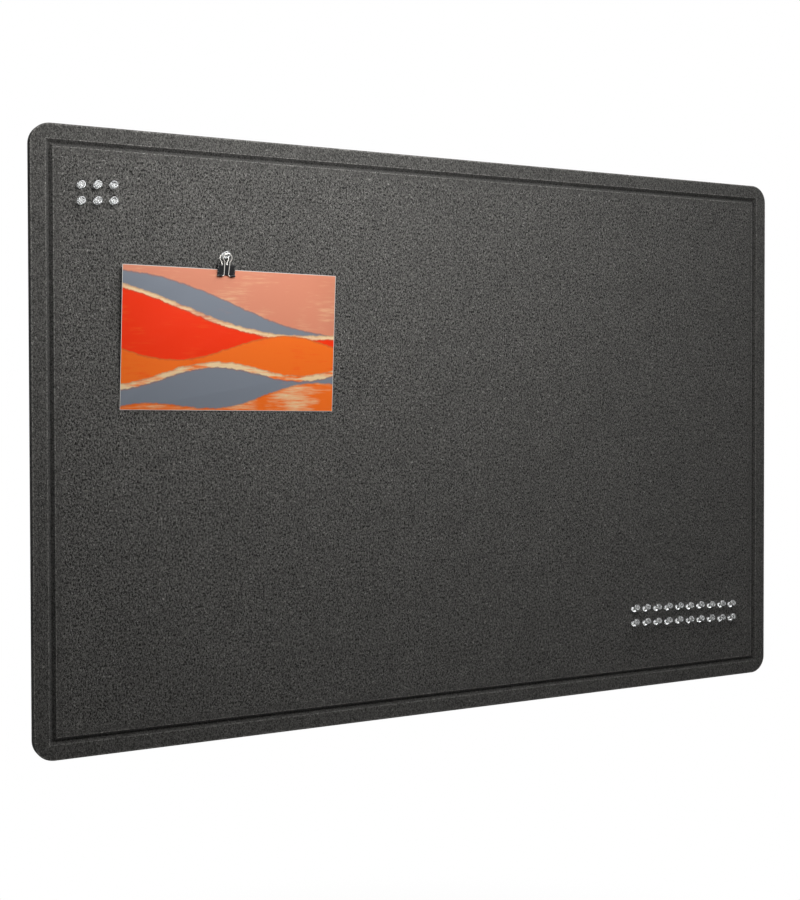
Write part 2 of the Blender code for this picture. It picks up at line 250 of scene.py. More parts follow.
def card_axes():
    """Directions of the card: along its width, through its thickness, and up its height."""
    wide, tall, _ = principal_axes(node_points("art_card"))
    wide = towards(wide, (1.0, 0.0, 0.0))
    tall = towards(tall, (0.0, 0.0, 1.0))
    return np.array([wide, np.cross(tall, wide), tall])


def roll_offset(clip):
    """Distance from the card's middle plane to the axis of a rolled lip."""
    card_half = np.ptp((node_points("art_card") @ card_axes().T)[:, 1]) / 2
    return card_half + 2 * clip.fit_gap + clip.sheet + clip.wire_radius


def jaw_lean(clip):
    """Angle of a jaw and of its handle, which runs from its rolled lip to its edge of the spine."""
    inward = clip.spine / 2 - roll_offset(clip)
    roll = clip.wire_radius + clip.fit_gap + clip.sheet / 2
    return math.atan2(inward, clip.height) + math.asin(roll / math.hypot(inward, clip.height))


def clip_place(clip):
    """Origin and axes of the clip: on the card's middle plane, level with the lips' axis."""
    axes = card_axes()
    foot_axis = np.array(frame["joints"][0]["pos_m"])
    return foot_axis + axes[1] * roll_offset(clip), axes


def placed(points, origin, axes):
    """Points given along some axes, moved into the frame: origin plus each coordinate's axis."""
    return origin + points @ axes


# Surfaces

def arc(centre, radius, start, end, steps):
    """Points on a circle's arc: centre plus radius times (cosine, sine) of evenly spaced angles."""
    angles = np.linspace(start, end, steps + 1)
    return np.asarray(centre) + radius * np.column_stack([np.cos(angles), np.sin(angles)])


def grid_faces(rows, columns, closed_rows=False, closed_columns=False):
    """Four-cornered faces between the neighbours of a grid of points, numbered row by row."""
    numbers = np.arange(rows * columns).reshape(rows, columns)
    if closed_rows:
        numbers = np.vstack([numbers, numbers[:1]])
    if closed_columns:
        numbers = np.hstack([numbers, numbers[:, :1]])
    return np.stack([numbers[:-1, :-1], numbers[:-1, 1:], numbers[1:, 1:], numbers[1:, :-1]],
                    axis=-1).reshape(-1, 4)


def new_piece(name, points, faces, material, sharp=35.0, closed=True, values=()):
    """Mesh object at the origin from points and faces, with its doubles merged.

    A closed one gets its faces turned outwards. values are (name, number at each point) pairs,
    kept as attributes that materials read.
    """
    mesh = bpy.data.meshes.new(name)
    mesh.from_pydata(points.tolist(), [], [list(face) for face in faces])
    for label, numbers in values:
        attribute = mesh.attributes.new(label, "FLOAT", "POINT")
        attribute.data.foreach_set("value", numbers.astype(np.float32).ravel())
    bm = bmesh.new()
    bm.from_mesh(mesh)
    bmesh.ops.remove_doubles(bm, verts=bm.verts, dist=WELD)
    if closed:
        bmesh.ops.recalc_face_normals(bm, faces=bm.faces)
    bm.to_mesh(mesh)
    bm.free()
    mesh.materials.append(material)
    mesh.shade_smooth()
    mesh.set_sharp_from_angle(angle=math.radians(sharp))
    obj = bpy.data.objects.new(name, mesh)
    bpy.context.scene.collection.objects.link(obj)
    return obj


def dress(obj, body, node):
    """The piece rides on a body and stands for a solid, which it hides."""
    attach(obj, body)
    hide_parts(node)
    return obj


def turned(profile, sides):
    """Surface of revolution: (radius cos a, radius sin a, height) for every angle and point."""
    angles = np.linspace(0.0, 2 * math.pi, sides, endpoint=False)[:, None]
    radius, height = profile[:, 0], profile[:, 1]
    points = np.stack([radius * np.cos(angles), radius * np.sin(angles),
                       np.broadcast_to(height, (sides, len(profile)))], axis=-1)
    return points.reshape(-1, 3), grid_faces(sides, len(profile), closed_rows=True)


def tube(path, normal, radius, sides):
    """Round wire along a flat path: path point plus radius (cos a across + sin a normal).

    Across is square to the path in its plane. Each end closes in a half ball, whose rings shrink
    as the cosine while they move on as the sine.
    """
    tangent = np.gradient(path, axis=0)
    tangent /= np.linalg.norm(tangent, axis=1)[:, None]
    bulge = np.linspace(0.0, math.pi / 2, 5)[1:]
    start = path[0] - radius * np.sin(bulge[::-1, None]) * tangent[0]
    end = path[-1] + radius * np.sin(bulge[:, None]) * tangent[-1]
    centres = np.vstack([start, path, end])
    capped = (len(bulge), 1)
    tangents = np.vstack([np.tile(tangent[0], capped), tangent, np.tile(tangent[-1], capped)])
    radii = radius * np.concatenate([np.cos(bulge[::-1]), np.ones(len(path)), np.cos(bulge)])
    across = np.cross(tangents, normal)
    angles = np.linspace(0.0, 2 * math.pi, sides, endpoint=False)[None, :, None]
    points = centres[:, None] + radii[:, None, None] * (
        np.cos(angles) * across[:, None] + np.sin(angles) * normal)
    return points.reshape(-1, 3), grid_faces(len(centres), sides, closed_columns=True)


def rim_loops(half_width, half_height, profile, lines_x, lines_z, corner_steps):
    """Loops round a rectangle, one for each (inset, corner radius, depth) of the profile.

    A corner point lies at the corner's centre plus radius times (cosine, sine). The points of a
    straight side keep their own line's place along it. Columns of the result are X, Z and depth.
    """
    quarter = np.linspace(math.pi / 2, 0.0, corner_steps + 1)
    sides = []
    for turn in range(4):
        lines = (lines_x, lines_z)[turn % 2]
        lines = lines if turn in (0, 3) else lines[::-1]
        level = np.full(len(lines), math.pi / 2 - turn * math.pi / 2)
        along_x, along_z = (lines, 0 * lines) if turn % 2 == 0 else (0 * lines, lines)
        lean_x, lean_z = np.cos(level).round(), np.sin(level).round()
        sides.append(np.column_stack([along_x, along_z, lean_x, lean_z, level]))
        bend = quarter - turn * math.pi / 2
        middle = math.pi / 4 - turn * math.pi / 2
        sign_x, sign_z = np.sign(math.cos(middle)), np.sign(math.sin(middle))
        still = 0 * bend
        sides.append(np.column_stack([still, still, still + sign_x, still + sign_z, bend]))
    fixed_x, fixed_z, lean_x, lean_z, angle = np.vstack(sides).T
    inset, radius, depth = profile.T[:, :, None]
    x = fixed_x + lean_x * (half_width - inset - radius) + radius * np.cos(angle)
    z = fixed_z + lean_z * (half_height - inset - radius) + radius * np.sin(angle)
    return np.stack([x, z, np.broadcast_to(depth, x.shape)], axis=-1)


def grid_lines(half, spots):
    """Places of grid lines from -half to half: a coarse step, and the finer one near each spot."""
    coarse = np.linspace(-half, half, int(round(2 * half / FACE_STEP)) + 1)
    fine = np.arange(-DIMPLE_REACH, DIMPLE_REACH + DIMPLE_STEP / 2, DIMPLE_STEP)
    near = [spot + fine for spot in spots]
    lines = np.unique(np.concatenate([coarse, *near]).round(6))
    lines = lines[abs(lines) < half - DIMPLE_STEP / 2]
    keep = np.concatenate([[True], np.diff(lines) > DIMPLE_STEP / 3])
    return np.concatenate([[-half], lines[keep], [half]])


# Materials

def new_material(name, roughness=0.5, metallic=0.0, specular=0.5, **sockets):
    """Principled material; constant values go straight on the shader's own sockets."""
    mat = bpy.data.materials.new(name)
    mat.use_nodes = True
    tree = mat.node_tree
    shader = tree.nodes["Principled BSDF"]
    shader.inputs["Roughness"].default_value = roughness
    shader.inputs["Metallic"].default_value = metallic
    shader.inputs["Specular IOR Level"].default_value = specular
    for label, value in sockets.items():
        shader.inputs[label.replace("_", " ")].default_value = value
    return mat, tree, shader


def add_node(tree, kind, inputs, **settings):
    """New node; inputs maps its sockets to values or to the sockets that feed them."""
    made = tree.nodes.new(kind)
    for label, value in settings.items():
        setattr(made, label, value)
    for label, value in inputs.items():
        if isinstance(value, bpy.types.NodeSocket):
            tree.links.new(value, made.inputs[label])
        else:
            made.inputs[label].default_value = value
    return made


def object_place(tree):
    """Socket with the Object coordinates, which are metres in the frame."""
    return tree.nodes.new("ShaderNodeTexCoord").outputs["Object"]


def point_value(tree, label):
    """Socket with the number that new_piece keeps at each point under this name."""
    return add_node(tree, "ShaderNodeAttribute", {}, attribute_name=label).outputs["Fac"]


def mapped(tree, place, location=(0.0, 0.0, 0.0), rotation=(0.0, 0.0, 0.0), scale=(1.0, 1.0, 1.0)):
    """Socket with a place moved, turned and stretched."""
    inputs = {"Vector": place, "Location": location, "Rotation": rotation, "Scale": scale}
    return add_node(tree, "ShaderNodeMapping", inputs).outputs["Vector"]


def noise(tree, place, scale, detail=2.0, roughness=0.5, distortion=0.0, dimensions="3D"):
    """Socket with smooth noise from 0 to 1; scale is waves to the metre.

    In 2D it reads only the first two coordinates of the place.
    """
    inputs = {"Vector": place, "Scale": scale, "Detail": detail, "Roughness": roughness,
              "Distortion": distortion}
    return add_node(tree, "ShaderNodeTexNoise", inputs,
                    noise_dimensions=dimensions).outputs["Fac"]


def calc(tree, operation, *terms, clamp=False):
    """Socket with the result of a Math node."""
    inputs = dict(enumerate(terms))
    return add_node(tree, "ShaderNodeMath", inputs, operation=operation,
                    use_clamp=clamp).outputs[0]


def fit(tree, value, low, high, new_low=0.0, new_high=1.0, smooth=True):
    """Socket with a value carried from one range to another, held at its ends."""
    inputs = {"Value": value, "From Min": low, "From Max": high, "To Min": new_low,
              "To Max": new_high}
    kind = "SMOOTHSTEP" if smooth else "LINEAR"
    return add_node(tree, "ShaderNodeMapRange", inputs, interpolation_type=kind).outputs["Result"]


def ridge(tree, value, width):
    """Socket that is 1 where a noise crosses its middle value and 0 further off than width."""
    off = calc(tree, "ABSOLUTE", calc(tree, "SUBTRACT", value, 0.5))
    return fit(tree, off, 0.0, width, 1.0, 0.0)


def blend_colour(tree, factor, first, second):
    """Socket with two colours mixed; each may be a colour or a socket."""
    made = tree.nodes.new("ShaderNodeMix")
    made.data_type = "RGBA"
    for socket, value in zip((made.inputs[0], made.inputs[6], made.inputs[7]),
                             (factor, first, second)):
        if isinstance(value, bpy.types.NodeSocket):
            tree.links.new(value, socket)
        elif isinstance(value, float):
            socket.default_value = value
        else:
            socket.default_value = (*value, 1.0)
    return made.outputs[2]


def bump(tree, shader, height, distance):
    """Feed a height to the shader's normal; distance is how far, in metres, a value of 1 rises."""
    made = add_node(tree, "ShaderNodeBump", {"Height": height, "Distance": distance})
    tree.links.new(made.outputs["Normal"], shader.inputs["Normal"])


def felt_material(felt):
    """Pressed charcoal felt: matted light and dark fibres over slow mottling, with a soft nap."""
    mat, tree, shader = new_material("pressed_felt", roughness=0.95, specular=0.12,
                                     Sheen_Weight=0.12, Sheen_Roughness=0.55)
    place = object_place(tree)
    pressed = point_value(tree, "pressed")
    taller = (1.15, 1.0, 0.80)
    upright = mapped(tree, place, scale=taller)
    # The face has flat noise, which is more even. The rim has solid noise, which doesn't streak
    face_on = mapped(tree, place, rotation=(math.pi / 2, 0.0, 0.0), scale=taller)
    face_tufts = noise(tree, face_on, 580.0, roughness=0.6, distortion=0.5, dimensions="2D")
    rim_tufts = noise(tree, upright, 700.0, detail=1.0, distortion=0.5)
    face_tufts = fit(tree, face_tufts, 0.38, 0.62)
    rim_tufts = fit(tree, rim_tufts, 0.39, 0.61)
    tufts = calc(tree, "MULTIPLY_ADD", pressed, calc(tree, "SUBTRACT", rim_tufts, face_tufts),
                 face_tufts)
    worm_place = mapped(tree, place, location=(0.31, 0.17, 0.23))
    worms = ridge(tree, noise(tree, worm_place, 470.0, detail=1.0, distortion=1.6), 0.034)
    grain = fit(tree, noise(tree, upright, 1700.0, detail=1.0), 0.30, 0.70)
    mottle = noise(tree, place, 26.0, detail=3.0, roughness=0.6)
    fleck_place = mapped(tree, place, location=(0.7, 0.4, 0.9))
    flecks = fit(tree, noise(tree, fleck_place, 640.0, detail=1.0, distortion=1.2), 0.65, 0.72)
    contrast = fit(tree, pressed, 0.0, 1.0, 1.0, 0.55)
    body = blend_colour(tree, tufts, felt.dark, felt.middle)
    even = (felt.dark + felt.middle) / 2
    body = blend_colour(tree, contrast, even, body)
    light = calc(tree, "MULTIPLY", worms, fit(tree, grain, 0.0, 1.0, 0.14, 0.78))
    light = calc(tree, "MULTIPLY", calc(tree, "MULTIPLY_ADD", flecks, 0.8, light), contrast,
                 clamp=True)
    body = blend_colour(tree, light, body, felt.light)
    # The shade value brings the painted highlight on the lips and front edge and the painted shade
    # in the groove
    shade = point_value(tree, "shade")
    tone = calc(tree, "MULTIPLY", fit(tree, mottle, 0.3, 0.7, 0.95, 1.05),
                fit(tree, grain, 0.0, 1.0, 0.86, 1.14))
    tone = calc(tree, "MULTIPLY", tone, shade)
    toned = add_node(tree, "ShaderNodeVectorMath", {0: body, "Scale": tone}, operation="SCALE")
    tree.links.new(toned.outputs[0], shader.inputs["Base Color"])
    height = calc(tree, "MULTIPLY_ADD", worms, 0.5, calc(tree, "MULTIPLY_ADD", grain, 0.25,
                                                        tufts))
    bump(tree, shader, height, 0.00028)
    return mat


def plastic_material(pins):
    """Clear moulded plastic with faint flow marks, whose rims gather light and look whiter."""
    mat, tree, shader = new_material("clear_plastic", IOR=1.52)
    place = object_place(tree)
    rim = point_value(tree, "rim")
    tree.links.new(fit(tree, rim, 0.0, 1.0, 1.0, 0.56), shader.inputs["Transmission Weight"])
    swirl = noise(tree, place, 260.0, distortion=1.5)
    tree.links.new(fit(tree, swirl, 0.3, 0.7, 0.015, 0.06), shader.inputs["Roughness"])
    tint = blend_colour(tree, fit(tree, swirl, 0.35, 0.65), pins.plastic, 0.985 * pins.plastic)
    tree.links.new(tint, shader.inputs["Base Color"])
    bump(tree, shader, swirl, 0.00003)
    return mat


def needle_material(pins):
    """Drawn steel with fine lengthwise marks."""
    mat, tree, shader = new_material("needle_steel", metallic=1.0)
    place = object_place(tree)
    drawn = noise(tree, mapped(tree, place, scale=(4.0, 0.6, 4.0)), 1800.0)
    tree.links.new(fit(tree, drawn, 0.3, 0.7, 0.16, 0.34), shader.inputs["Roughness"])
    shade = blend_colour(tree, fit(tree, drawn, 0.3, 0.7), 0.72 * pins.steel, pins.steel)
    tree.links.new(shade, shader.inputs["Base Color"])
    bump(tree, shader, drawn, 0.00002)
    return mat


def wave_edge(tree, across, height, rise, slope, amplitude, waves, phase):
    """Socket with a point's height over a wavy line: height - rise - slope x - a sin(w x + p)."""
    swing = calc(tree, "SINE", calc(tree, "MULTIPLY_ADD", across, waves, phase))
    line = calc(tree, "MULTIPLY_ADD", swing, amplitude,
                calc(tree, "MULTIPLY_ADD", across, slope, rise))
    return calc(tree, "SUBTRACT", height, line)


def print_material(card, origin, axes, half_width, half_height):
    """Printed card: overlapping painted waves in five colours, with paper at its edges and back.

    The pattern runs on the card's own width and height, from 0 at its lower left corner to 1.
    """
    mat, tree, shader = new_material("printed_card", roughness=0.42, specular=0.14)
    place = object_place(tree)
    shifted = add_node(tree, "ShaderNodeVectorMath", {0: place, 1: tuple(origin)},
                       operation="SUBTRACT").outputs[0]
    measured = [add_node(tree, "ShaderNodeVectorMath", {0: shifted, 1: tuple(axis)},
                         operation="DOT_PRODUCT").outputs["Value"] for axis in axes]
    across = fit(tree, measured[0], -half_width, half_width, smooth=False)
    height = fit(tree, measured[2], -half_height, half_height, smooth=False)
    ragged = noise(tree, place, 120.0, detail=3.0, roughness=0.6)
    wander = calc(tree, "MULTIPLY", calc(tree, "SUBTRACT", ragged, 0.5), 0.030)
    level = calc(tree, "ADD", height, wander)
    stroke_place = mapped(tree, place, rotation=(0.0, math.radians(22.0), 0.0),
                          scale=(0.12, 1.0, 1.0))
    brush = noise(tree, stroke_place, 420.0, detail=3.0, roughness=0.6)
    pools = noise(tree, place, 30.0)

    def over(painted, edge, paint):
        """Paint laid over what lies below a wavy line, with a thin darker edge where it dried."""
        covered = fit(tree, edge, -0.006, 0.006, 1.0, 0.0)
        rim = fit(tree, calc(tree, "ABSOLUTE", edge), 0.0, 0.016, 0.45, 0.0)
        dried = blend_colour(tree, rim, paint, card.dried)
        return blend_colour(tree, covered, painted, dried)

    def brushed(paint, other, low, high):
        """Paint that turns to another where the brush ran dry or the paint pooled."""
        amount = calc(tree, "MULTIPLY_ADD", brush, 0.5, calc(tree, "MULTIPLY", pools, 0.5))
        return blend_colour(tree, fit(tree, amount, low, high), paint, other)

    salmon, red, orange = card.salmon, card.red, card.orange
    slate, cream = card.slate, card.cream
    painted = brushed(salmon, cream, 0.50, 0.95)
    # Rise, slope, amplitude, waves and phase of each band's upper line, and its paint
    bands = (
        (0.93, -0.34, 0.055, 5.0, 0.6, brushed(slate, salmon, 0.62, 1.10)),
        (0.80, -0.24, 0.075, 4.4, 1.9, brushed(cream, salmon, 0.45, 0.70)),
        (0.77, -0.24, 0.075, 4.4, 1.9, brushed(red, orange, 0.55, 0.90)),
        (0.44, 0.02, 0.090, 6.0, 3.3, brushed(orange, red, 0.52, 0.85)),
        (0.24, 0.10, 0.065, 7.0, 5.0, brushed(cream, orange, 0.45, 0.65)),
        (0.20, 0.10, 0.065, 7.0, 5.0, brushed(slate, salmon, 0.60, 1.05)),
        (-0.02, 0.20, 0.050, 8.0, 1.0, brushed(orange, cream, 0.45, 0.75)),
    )
    for *wave, paint in bands:
        painted = over(painted, wave_edge(tree, across, level, *wave), paint)
    printed = point_value(tree, "front")
    for off, half in ((measured[0], half_width), (measured[2], half_height)):
        inside = fit(tree, calc(tree, "ABSOLUTE", off), half - card.margin,
                     half - 0.7 * card.margin, 1.0, 0.0)
        printed = calc(tree, "MULTIPLY", printed, inside)
    fibres = noise(tree, place, 900.0, detail=3.0, roughness=0.6)
    paper = blend_colour(tree, fibres, 0.90 * card.paper, card.paper)
    finished = blend_colour(tree, fit(tree, printed, 0.3, 0.7), paper, painted)
    tree.links.new(finished, shader.inputs["Base Color"])
    tree.links.new(fit(tree, brush, 0.3, 0.7, 0.34, 0.52), shader.inputs["Roughness"])
    bump(tree, shader, calc(tree, "MULTIPLY_ADD", brush, 0.6, fibres), 0.00003)
    return mat


def enamel_material(clip):
    """Black enamel on spring steel, worn to bare steel in small chips along its free edges."""
    mat, tree, shader = new_material("black_enamel", specular=0.22)
    place = object_place(tree)
    chips = noise(tree, place, 900.0, detail=3.0, roughness=0.65)
    edge = point_value(tree, "edge")
    worn = calc(tree, "MULTIPLY", fit(tree, chips, 0.55, 0.64), fit(tree, edge, 0.80, 1.0))
    orange_peel = noise(tree, place, 1300.0, detail=1.0)
    tree.links.new(blend_colour(tree, worn, clip.enamel, clip.bare), shader.inputs["Base Color"])
    tree.links.new(worn, shader.inputs["Metallic"])
    tree.links.new(fit(tree, orange_peel, 0.3, 0.7, 0.16, 0.28), shader.inputs["Roughness"])
    bump(tree, shader, orange_peel, 0.00002)
    return mat


def wire_material(clip):
    """Plated wire with faint drawing marks and a few dull spots."""
    mat, tree, shader = new_material("plated_wire", metallic=1.0)
    place = object_place(tree)
    dull = noise(tree, place, 500.0, detail=3.0, roughness=0.6)
    fine = noise(tree, place, 2600.0, detail=1.0)
    tree.links.new(fit(tree, dull, 0.35, 0.75, 0.10, 0.30), shader.inputs["Roughness"])
    shade = blend_colour(tree, fit(tree, dull, 0.4, 0.8), clip.plating, 0.80 * clip.plating)
    tree.links.new(shade, shader.inputs["Base Color"])
    bump(tree, shader, fine, 0.00001)
    return mat


# Pieces

def felt_profile(felt, thickness):
    """Section of the panel's rim, from the back in to the groove's inner lip, and its shading.

    Each row is inset, corner radius and depth, where depth 0 is the felt's face. The groove is a
    V whose lips and bottom are short arcs that meet its slopes smoothly. The corner radius shrinks
    to 0 over the border's last third, so the groove is mitred. The second array is what the felt's
    tone is multiplied by: 1 on flat felt, more on the lips and the front edge as a painted
    highlight, and less down the groove's slopes and bottom as painted shade.
    """
    rounded = felt.edge_round
    back = arc((felt.back_round, -thickness + felt.back_round), felt.back_round, -math.pi / 2,
               -math.pi, steps=3)
    front = arc((rounded, -rounded), rounded, math.pi, math.pi / 2, steps=6)
    half, soft = felt.groove_width / 2, felt.lip_round
    slope = math.atan2(felt.groove_depth, half)
    trim = soft * math.tan(slope / 2)
    outer_lip = arc((felt.border_width - trim, -soft), soft, math.pi / 2, math.pi / 2 - slope,
                    steps=5)
    bottom_x = felt.border_width + half
    bottom_z = -felt.groove_depth + soft / math.cos(slope) - soft
    bottom = arc((bottom_x, bottom_z + soft), soft, -math.pi / 2 - slope, -math.pi / 2 + slope,
                 steps=6)
    inner_lip = outer_lip[::-1] * (-1, 1) + (2 * bottom_x, 0)
    beside = [(rounded + soft, 0.0), (outer_lip[0, 0] - soft, 0.0)]
    within = [(inner_lip[-1, 0] + soft, 0.0)]
    section = np.vstack([back, front, beside, outer_lip, bottom, inner_lip, within])
    # Painted highlight, rising over the front edge's round to the full lip value
    painted_edge_highlight = np.linspace(1.0, felt.painted_lip_light, len(front))
    # Painted shade down the groove's slopes, halfway between flat felt and the groove's bottom
    painted_slope_shade = (1.0 + felt.painted_groove_shade) / 2
    painted_lip_light = np.linspace(felt.painted_lip_light, painted_slope_shade, len(outer_lip))
    shade = np.concatenate([np.ones(len(back)), painted_edge_highlight, np.ones(len(beside)), painted_lip_light,
                            np.full(len(bottom), felt.painted_groove_shade), painted_lip_light[::-1],
                            np.ones(len(within))])
    inset, depth = section.T
    radius = np.clip(felt.corner_radius - inset, 0.0, None)
    radius *= np.clip((felt.border_width - trim - inset) / (felt.border_width / 3), 0.0, 1.0)
    return np.column_stack([inset, radius, depth]), shade


def felt_panel(felt):
    """Panel of pressed felt: a rim that follows its section, and an uneven face inside it.

    The face's depth is the ripple times a sum of slow sines, less a bell-shaped dimple at each
    needle: dimple times exp(-(distance / spread) squared). The value pressed is 1 on the rim and
    fades to 0 within a third of the border's width.
    """
    low, high = (np.array(corner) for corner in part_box("felt_board"))
    half_width, half_height, thickness = (high[0] - low[0]) / 2, (high[2] - low[2]) / 2, -low[1]
    spots = np.array([pin_place(pin)[0] for pin in PINS])
    profile, rim_painted_light = felt_profile(felt, thickness)
    inner_x, inner_z = half_width - profile[-1, 0], half_height - profile[-1, 0]
    lines_x = grid_lines(inner_x, np.unique(spots[:, 0].round(4)))
    lines_z = grid_lines(inner_z, np.unique(spots[:, 2].round(3)))
    loops = rim_loops(half_width, half_height, profile, lines_x[1:-1], lines_z[1:-1],
                      PANEL_CORNER_STEPS)
    x, z = np.meshgrid(lines_x, lines_z)
    inside = np.minimum(inner_x - abs(x), inner_z - abs(z)) / felt.border_width
    waves = sum(np.sin(along_x * x + along_z * z + start) for along_x, along_z, start in RIPPLES)
    depth = felt.ripple * waves * np.clip(inside, 0.0, 1.0)
    for spot in spots:
        away = np.hypot(x - spot[0], z - spot[2])
        depth = depth - felt.dimple * np.exp(-(away / DIMPLE_SPREAD) ** 2)
    face = np.stack([x, z, depth], axis=-1).reshape(-1, 3)
    rings, around = loops.shape[:2]
    flat = np.vstack([loops.reshape(-1, 3), face])
    points = np.column_stack([flat[:, 0], -thickness - flat[:, 2], flat[:, 1]])
    faces = [*grid_faces(rings, around, closed_columns=True).tolist(),
             *(grid_faces(*x.shape) + rings * around).tolist(), list(range(around))]
    pressed = np.concatenate([np.ones(rings * around), 1.0 - np.clip(3.0 * inside.ravel(), 0, 1)])
    # Painted highlight and shade on the rim's rings, none on the face
    shade = np.concatenate([np.repeat(rim_painted_light, around), np.ones(x.size)])
    return new_piece("felt_panel", points, faces, felt_material(felt),
                     values=[("pressed", pressed), ("shade", shade)])


def head_profile(pins, height):
    """Outline of a pin's plastic head, from its dished top down the outside to its underside.

    The dish is as deep as 1 less the fourth power of the share of its radius. The waist's radius
    follows a parabola that is narrowest at mid height.
    """
    rim, low_rim = pins.head_round, pins.flange_round
    quarter = math.pi / 2
    under_head = height - pins.head_thickness
    rim_top = arc((pins.head_radius - rim, height - rim), rim, quarter, 0.0, steps=6)
    rim_low = arc((pins.head_radius - rim, under_head + rim), rim, 0.0, -quarter, steps=6)
    dish = np.linspace(0.0, 1.0, 9)[:-1]
    dish_radius = rim_top[0, 0] * dish
    dish_top = np.column_stack([dish_radius, height - pins.head_dish * (1 - dish ** 4)])
    share_down = np.linspace(1.0, 0.0, 13)
    waist_radius = pins.waist_radius + (pins.shoulder_radius - pins.waist_radius) * (
        2 * share_down - 1) ** 2
    waist_low = pins.flange_thickness
    waist = np.column_stack([waist_radius, waist_low + share_down * (under_head - waist_low)])
    flange_rim = pins.flange_radius - low_rim
    flange_top = arc((flange_rim, pins.flange_thickness - low_rim), low_rim, quarter, 0.0, steps=5)
    flange_low = arc((flange_rim, low_rim), low_rim, 0.0, -quarter, steps=5)
    return np.vstack([dish_top, rim_top, rim_low, waist, flange_top, flange_low, [(0.0, 0.0)]])


def needle_profile(pins, blunt_end, reach):
    """Outline of a needle: a softened blunt end, the shank and an ogive point.

    The point's radius is the needle's times 1 less the 1.6th power of the share of its length.
    """
    soft = pins.needle_radius / 3
    blunt = arc((pins.needle_radius - soft, blunt_end - soft), soft, math.pi / 2, 0.0, steps=3)
    taper = np.linspace(0.0, 1.0, 7)
    point = np.column_stack([pins.needle_radius * (1 - taper ** 1.6),
                             pins.needle_taper * (1 - taper) - reach])
    return np.vstack([[(0.0, blunt_end)], blunt, point])


def push_pins(pins):
    """One clear head and one steel needle for each pin of the frame, on its own axis."""
    plastic, steel = plastic_material(pins), needle_material(pins)
    for pin in PINS:
        origin, axes, height, reach = pin_place(pin)
        needle_top = ((node_points(f"{pin}_needle") - origin) @ axes[2]).max()
        for part, profile, mat, slot in (
                ("head", head_profile(pins, height), plastic, "clear_plastic"),
                ("needle", needle_profile(pins, needle_top, reach), steel, "needle_steel")):
            sides = pins.sides if part == "head" else pins.sides // 2
            points, faces = turned(profile, sides)
            rim = np.interp(profile[:, 0] / pins.head_radius, RIM_SPAN, (0.0, 1.0))
            made = new_piece(f"{pin}_finished_{part}", placed(points, origin, axes), faces, mat,
                             values=[("rim", np.tile(rim, sides))])
            dress(made, "board", f"{pin}_{part}")


def printed_card(card):
    """Thin card with softened edges, in the place and at the lean of its solid."""
    solid = node_points("art_card")
    axes = card_axes()
    own = solid @ axes.T
    middle = (own.min(0) + own.max(0)) / 2
    half_width, half_depth, half_height = np.ptp(own, axis=0) / 2
    origin = middle @ axes
    soft = card.edge_round
    front = arc((soft, half_depth - soft), soft, math.pi, math.pi / 2, steps=3)
    section = np.vstack([front[::-1] * (1, -1), front])
    radius = np.clip(card.corner_radius - section[:, 0], 0.0, None)
    profile = np.column_stack([section[:, 0], radius, section[:, 1]])
    # Places of points along the edges, as shares of half the card's width or height
    lines = np.linspace(-0.9, 0.9, 19)
    loops = rim_loops(half_width, half_height, profile, lines * half_width, lines * half_height,
                      CARD_CORNER_STEPS)
    rings, around = loops.shape[:2]
    flat = loops.reshape(-1, 3)
    points = placed(np.column_stack([flat[:, 0], -flat[:, 2], flat[:, 1]]), origin, axes)
    last = (rings - 1) * around
    faces = [*grid_faces(rings, around, closed_columns=True).tolist(), list(range(around)),
             list(range(last, last + around))]
    front = np.repeat((section[:, 1] > half_depth - soft / 4).astype(float), around)
    mat = print_material(card, origin, axes, half_width, half_height)
    made = new_piece("printed_card", points, faces, mat, values=[("front", front)])
    dress(made, "board", "art_card")


def clip_section(clip):
    """Middle line of the folded sheet as (distance from the card, height) points, jaw to jaw.

    Each lip is an arc round its wire that runs into the straight jaw, and each fold is an arc
    that touches the jaw and the spine. The second value is how many points a lip has.
    """
    offset, lean = roll_offset(clip), jaw_lean(clip)
    roll = clip.wire_radius + clip.fit_gap + clip.sheet / 2
    lip = arc((offset, 0.0), roll, 2 * math.pi + clip.curl, math.pi - lean, steps=28)
    corner_turn = math.pi / 2 - lean
    back = clip.bend * math.tan(corner_turn / 2)
    fold_x = clip.spine / 2 - back
    fold = arc((fold_x, clip.height - clip.bend), clip.bend, math.pi / 2 - corner_turn,
               math.pi / 2, steps=8)
    jaw = lip[-1] + np.linspace(0.0, 1.0, 9)[1:-1, None] * (fold[0] - lip[-1])
    half = np.vstack([lip, jaw, fold])
    return np.vstack([half * (-1, 1), half[::-1]]), len(lip)


def clip_body(clip):
    """Folded spring-steel sheet: its section carried along the clip's width.

    The middle strip has no rolled lip, so the handles' legs can leave the rolls there.
    """
    section, lip_count = clip_section(clip)
    sides = np.linspace(clip.notch / 2, clip.width / 2, 9)
    lines = np.concatenate([-sides[::-1], np.linspace(-clip.notch / 2, clip.notch / 2, 9)[1:-1],
                            sides])
    x = np.repeat(lines, len(section))
    flat = np.tile(section, (len(lines), 1))
    points = np.column_stack([x, flat])
    faces = grid_faces(len(lines), len(section))
    column, row = faces[:, 0] // len(section), faces[:, 0] % len(section)
    in_notch = abs(lines[column] + lines[column + 1]) / 2 < clip.notch / 2
    in_lip = (row < lip_count - 1) | (row >= len(section) - lip_count)
    edge = abs(x) / (clip.width / 2)
    origin, axes = clip_place(clip)
    made = new_piece("clip_enamelled_body", placed(points, origin, axes),
                     faces[~(in_notch & in_lip)], enamel_material(clip), closed=False,
                     values=[("edge", edge)])
    sheet = made.modifiers.new("Sheet", "SOLIDIFY")
    sheet.thickness = clip.sheet
    sheet.offset = 0.0
    sheet.use_even_offset = True
    soft = made.modifiers.new("Soft edges", "BEVEL")
    soft.width = clip.sheet / 6
    soft.segments = 2
    soft.limit_method = "ANGLE"
    soft.angle_limit = math.radians(60.0)
    dress(made, "board", "clip_body")


